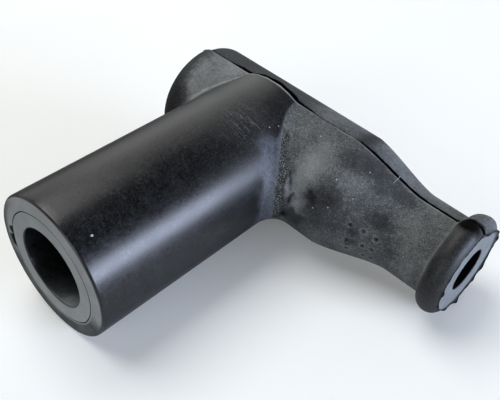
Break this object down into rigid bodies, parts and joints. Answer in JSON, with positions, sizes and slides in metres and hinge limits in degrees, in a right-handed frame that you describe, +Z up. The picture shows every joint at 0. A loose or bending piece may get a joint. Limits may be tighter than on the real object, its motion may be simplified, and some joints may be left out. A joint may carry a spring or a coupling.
{
  "type": "spark plug cap",
  "caption": "Right-angled rubber spark plug cap: a straight barrel over the plug, a tapered arm with a beaded lip for the lead, and a coiled wire terminal inside.",
  "frame": {"origin": "under the middle of the cap as it lies on its side, on the surface that it lies on", "axes": "+Z up; -Y out of the barrel's mouth, along the plug; +X along the arm towards the lead, which dips about 4 degrees to the floor"},
  "size_m": [0.055, 0.0512, 0.0216],
  "materials": {
    "black_rubber": "moulded, satin on the barrel and matt on the arm, with flash and wear",
    "spring_wire": "plated spring wire"
  },
  "bodies": {
    "root": {"rubber_boot": "black_rubber", "terminal_spring": "spring_wire"}
  },
  "joints": []
}
